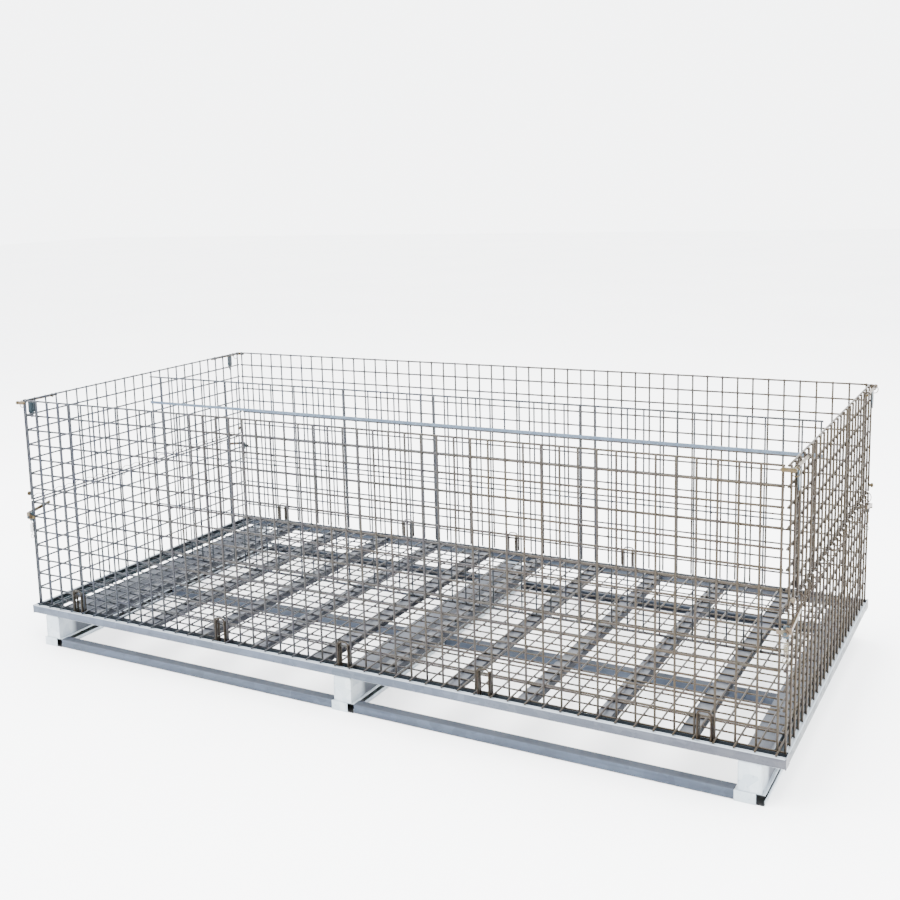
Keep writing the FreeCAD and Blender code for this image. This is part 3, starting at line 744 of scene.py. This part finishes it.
def make_runners():
    low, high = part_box("ground_runners")
    shape = Shape()
    for outer, way in ((low[1], 1), (-MIDDLE_RUNNER_OFFSET, 1), (high[1], -1)):
        skin = way * SHEET
        open_edge = outer + way * RUNNER_WIDTH
        outline = rounded([
            (outer, low[2], BEND), (open_edge, low[2], EDGE), (open_edge, low[2] + SHEET, EDGE),
            (outer + skin, low[2] + SHEET, INNER_BEND), (outer + skin, high[2] - SHEET, INNER_BEND),
            (open_edge, high[2] - SHEET, EDGE), (open_edge, high[2], EDGE), (outer, high[2], BEND),
        ])
        for start, end in ((low[0], -RUNNER_GAP), (RUNNER_GAP, high[0])):
            add_extrusion(shape, outline, 0, start, end)
    shape.make("ground_runners_folded", "base", RUNNER_METAL,
               replaces=["ground_runners"], sharp=30)


def make_floor_strips():
    low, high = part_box("floor_channels")
    pitch = (high[0] - low[0] - STRIP_WIDTH) / (STRIP_COUNT - 1)
    under = high[2] - STRIP_SHEET
    shape = Shape()
    for index in range(STRIP_COUNT):
        near = low[0] + index * pitch
        far = near + STRIP_WIDTH
        outline = rounded([
            (near, low[2], EDGE), (near + STRIP_SHEET, low[2], EDGE),
            (near + STRIP_SHEET, under, STRIP_INNER_BEND),
            (far - STRIP_SHEET, under, STRIP_INNER_BEND),
            (far - STRIP_SHEET, low[2], EDGE), (far, low[2], EDGE),
            (far, high[2], STRIP_BEND), (near, high[2], STRIP_BEND),
        ])
        add_extrusion(shape, outline, 1, low[1], high[1])
    shape.make("floor_channels_folded", "base", STRIP_METAL,
               replaces=["floor_channels"], sharp=30)


def paint_carried_nodes():
    """Nodes whose own shape is right keep it, and take a finish."""
    finish = {
        "rail_end_caps": LONG_RAIL_METAL,
        "bearer_end_plates": FOOT_METAL, "skid_end_plates": FOOT_METAL,
        "front_hinge_loops": HINGE_WIRE, "rear_hinge_loops": HINGE_WIRE,
        "left_rod_holders": HINGE_WIRE, "right_rod_holders": HINGE_WIRE,
    }
    for end, side in CORNERS:
        corner = f"{side}_{end}_latch_"
        finish[corner + "boss"] = TAB_METAL
        finish[corner + "tab"] = TAB_METAL
        for part in ("hook", "lever", "knob"):
            finish[corner + part] = YELLOW_ZINC
    for node, material in finish.items():
        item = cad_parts[node]
        item.data.materials.clear()
        item.data.materials.append(material)


# ------------------------------------------------------------------ hinges, springs and rings
def make_hinge_coils():
    """A spiral hinge along each end wall: one turn per upright, passing between them."""
    for end, way in (("left", -1), ("right", 1)):
        low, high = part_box(end + "_hinge_rings")
        wall_low, wall_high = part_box(end + "_lower_rows")
        axis_x = (low[0] + high[0]) / 2
        axis_z = (low[2] + high[2]) / 2
        first = wall_low[1] + END_PITCH / 4 + WIRE_RADIUS
        turns = int((wall_high[1] - first) / END_PITCH)
        path = []
        for step in range(turns * COIL_STEPS + 1):
            turn = 2 * math.pi * step / COIL_STEPS
            # The turn starts under the axis, and its outer half lies between two uprights.
            path.append((axis_x + way * COIL_RADIUS * math.sin(turn),
                         first + END_PITCH * step / COIL_STEPS,
                         axis_z - COIL_RADIUS * math.cos(turn)))
        shape = Shape()
        add_tube(shape, path, COIL_WIRE, sides=THIN_SIDES)
        shape.make(end + "_hinge_coil", "base", HINGE_WIRE,
                   replaces=[end + "_hinge_rings"], sharp=60)


def arch(middle, height, half_width, foot, corner, steps=5):
    """The path of an upside-down U in the X-Z plane."""
    x, y = middle
    path = [(x - half_width, y, foot)]
    for sign, start in ((-1, math.pi), (1, math.pi / 2)):
        centre = (x + sign * (half_width - corner), height - corner)
        for step in range(steps + 1):
            turn = start - math.pi / 2 * step / steps
            path.append((centre[0] + corner * math.cos(turn), y,
                         centre[1] + corner * math.sin(turn)))
    path.append((x + half_width, y, foot))
    return path


def make_loop_arches():
    """A bent wire across each pair of hinge straps, standing on the rail's lip."""
    for side, way in (("front", -1), ("rear", 1)):
        low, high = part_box(side + "_hinge_loops")
        outer = low[1] if way < 0 else high[1]
        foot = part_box(side + "_rail")[1][2] + GAP
        reach = (high[0] - low[0]) / 2 - LOOP_OVERHANG
        shape = Shape()
        for share in LOOP_SHARES:
            middle = (share * reach, outer + way * ARCH_STANDOFF)
            path = arch(middle, high[2] + ARCH_RISE, ARCH_HALF_WIDTH, foot, ARCH_CORNER)
            add_tube(shape, path, ARCH_WIRE)
        shape.make(side + "_loop_arches", "base", HINGE_WIRE)


def make_pull_spring(corner, way_y):
    """A pull spring with an end ring, hanging from the side latch's boss."""
    low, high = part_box(corner + "_latch_boss")
    x = (low[0] + high[0]) / 2
    y = way_y * SPRING_PLACE
    top = low[2] - SPRING_CLEARANCE
    coil_top = top - SPRING_STEM - SPRING_SHOULDER
    path = [(x, y, top), (x, y, top - SPRING_STEM)]
    steps = SPRING_TURNS * SPRING_STEPS
    for step in range(steps + 1):
        turn = 2 * math.pi * step / SPRING_STEPS
        path.append((x + SPRING_COIL * math.sin(turn), y + SPRING_COIL * math.cos(turn),
                     coil_top - SPRING_LENGTH * step / steps))
    foot = coil_top - SPRING_LENGTH - SPRING_FOOT
    path += [(x, y, foot), (x, y, foot - SPRING_STEM)]
    shape = Shape()
    add_tube(shape, path, SPRING_WIRE, sides=THIN_SIDES)
    ring_z = foot - SPRING_STEM - SPRING_RING
    ring = []
    for step in range(SPRING_RING_STEPS):
        turn = 2 * math.pi * step / SPRING_RING_STEPS
        ring.append((x + SPRING_RING * math.sin(turn), y, ring_z + SPRING_RING * math.cos(turn)))
    add_tube(shape, ring, SPRING_WIRE, sides=THIN_SIDES, closed=True)
    shape.make(corner + "_latch_spring", "base", SPRING, sharp=60)


def make_gate_stud(corner, end, way_x, way_y):
    """A domed stud on the gate's corner upright, just above the hinge."""
    low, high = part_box(end + "_gate_uprights")
    outer = high[0] if way_x > 0 else low[0]
    centre_y = (high[1] if way_y > 0 else low[1]) - way_y * WIRE_RADIUS
    add_stud(corner + "_gate_stud", end + "_gate", outer + way_x * GAP, centre_y,
             low[2] + STUD_HEIGHT, way_x)


def make_pull_ring(corner, way_x, way_y):
    """A finger ring on the top latch's rod, near the corner."""
    low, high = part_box(corner + "_latch_hook")
    rod_x = (high[0] - ROD_RADIUS) if way_x > 0 else (low[0] + ROD_RADIUS)
    rod_z = (low[2] + high[2]) / 2
    centre = rod_z - RING_DROP
    ring = []
    for step in range(PULL_RING_STEPS):
        turn = 2 * math.pi * step / PULL_RING_STEPS
        ring.append((rod_x + way_x * PULL_RING * math.sin(turn) * PULL_RING_NARROWING,
                     way_y * PULL_RING_PLACE, centre + PULL_RING * math.cos(turn)))
    shape = Shape()
    add_tube(shape, ring, PULL_RING_WIRE, sides=THIN_SIDES, closed=True)
    shape.make(corner + "_pull_ring", corner + "_top_latch", YELLOW_ZINC, sharp=60)


def make_latch_details():
    for end, side in CORNERS:
        corner = f"{side}_{end}"
        way_x = 1 if end == "right" else -1
        way_y = 1 if side == "rear" else -1
        make_pull_spring(corner, way_y)
        make_gate_stud(corner, end, way_x, way_y)
        make_pull_ring(corner, way_x, way_y)


def add_stud(name, body, start, y, z, way, sides=20):
    """A turned stud along X."""
    points = []
    for reach, radius in STUD:
        for corner in range(sides):
            turn = 2 * math.pi * corner / sides
            points.append((start + way * reach, y + radius * math.cos(turn),
                           z + radius * math.sin(turn)))
    faces = [tuple(range(sides)), tuple(range(len(points) - sides, len(points)))]
    for ring in range(len(STUD) - 1):
        here, there = ring * sides, (ring + 1) * sides
        for corner in range(sides):
            beside = (corner + 1) % sides
            faces.append((here + corner, here + beside, there + beside, there + corner))
    shape = Shape()
    shape.add(points, faces)
    shape.make(name, body, YELLOW_ZINC, sharp=35)


# ------------------------------------------------------------------ camera, light and floor
def make_camera():
    camera = bpy.data.cameras.new("camera")
    item = bpy.data.objects.new("camera", camera)
    bpy.context.collection.objects.link(item)
    heading, dip, roll = math.radians(30.735), math.radians(9.317), math.radians(-1.958)
    place = (1.7972, -3.3602, 1.5057)
    forward = Vector((-math.sin(heading) * math.cos(dip), math.cos(heading) * math.cos(dip),
                      -math.sin(dip)))
    right = Vector((math.cos(heading), math.sin(heading), 0))
    up = right.cross(forward)
    side = math.cos(roll) * right + math.sin(roll) * up
    top = -math.sin(roll) * right + math.cos(roll) * up
    turn = Matrix((side, top, -forward)).transposed()
    item.matrix_world = Matrix.Translation(place) @ turn.to_4x4()
    camera.lens = 47.66
    camera.sensor_width = 36.0
    camera.shift_x = 0.0777
    camera.shift_y = -0.0747
    camera.clip_end = 50
    bpy.context.scene.camera = item


def add_light(name, place, target, size, power):
    lamp = bpy.data.lights.new(name, "AREA")
    lamp.size = size
    lamp.energy = power
    item = bpy.data.objects.new(name, lamp)
    item.location = place
    item.rotation_euler = (Vector(target) - Vector(place)).to_track_quat("-Z", "Y").to_euler()
    bpy.context.collection.objects.link(item)


def make_studio():
    mesh = bpy.data.meshes.new("floor")
    reach, level = 30, -0.0005
    mesh.from_pydata([(-reach, -reach, level), (reach, -reach, level), (reach, reach, level),
                      (-reach, reach, level)], [], [(0, 1, 2, 3)])
    floor = bpy.data.objects.new("floor", mesh)
    bpy.context.collection.objects.link(floor)
    material, nodes, links, shader = new_material("floor")
    paper = noise(nodes, links, 0.6, 2.0, object_space(nodes))
    tone = ramp(nodes, links, paper,
                [(0.3, (0.90, 0.90, 0.905)), (0.7, (0.93, 0.93, 0.93))])
    links.new(tone, shader.inputs["Base Color"])
    shader.inputs["Roughness"].default_value = 0.95
    mesh.materials.append(material)
    world = bpy.data.worlds.new("world")
    world.use_nodes = True
    sky = world.node_tree.nodes["Background"]
    sky.inputs["Color"].default_value = (0.97, 0.985, 1, 1)
    sky.inputs["Strength"].default_value = WORLD_LIGHT
    bpy.context.scene.world = world
    add_light("key", (0.3, -0.6, 5.2), (0.0, 0.0, 0.0), 7.0, KEY_POWER)
    add_light("left", (-4.5, -3.5, 3.2), (0, 0, 0.4), 2.5, 160)
    add_light("right", (5.0, -2.0, 2.6), (0, 0, 0.4), 2.0, 110)


make_camera()
make_studio()
make_panels()
make_divider()
make_rails()
make_bearers()
make_skids()
make_runners()
make_floor_strips()
make_hinge_coils()
make_loop_arches()
make_latch_details()
paint_carried_nodes()
